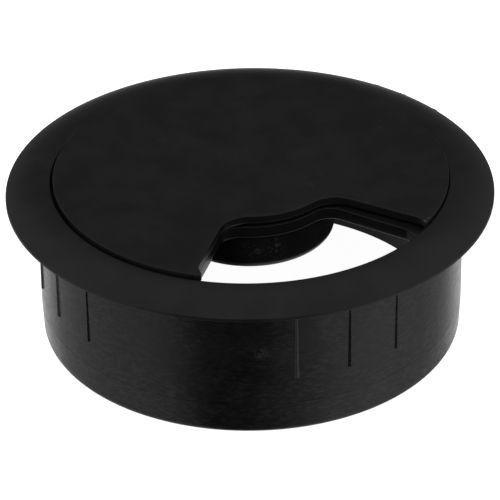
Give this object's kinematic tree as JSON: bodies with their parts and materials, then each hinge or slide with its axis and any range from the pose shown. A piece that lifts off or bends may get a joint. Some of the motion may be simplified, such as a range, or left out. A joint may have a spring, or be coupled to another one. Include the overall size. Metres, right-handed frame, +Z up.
{
  "type": "cable grommet",
  "caption": "Round flanged desk grommet with a ribbed wall and a turning cap whose window lets cables through or closes.",
  "frame": {"origin": "on the grommet's axis, in the plane of the desk's surface under the flange", "axes": "+Z up along the grommet's axis, from the foot to the cap; a group of grip ribs is centred on -Y"},
  "size_m": [0.091, 0.091, 0.0317],
  "materials": {
    "black_plastic": "black moulded plastic, finely grained and matt on top, satin on the wall"
  },
  "bodies": {
    "base": {"liner": "black_plastic", "insert": "black_plastic"},
    "cover": {"cap": "black_plastic"}
  },
  "joints": [
    {"name": "cap_turn", "type": "hinge", "parent": "base", "child": "cover", "pos_m": [0, 0, 0], "axis": [0, 0, 1], "continuous": true}
  ]
}
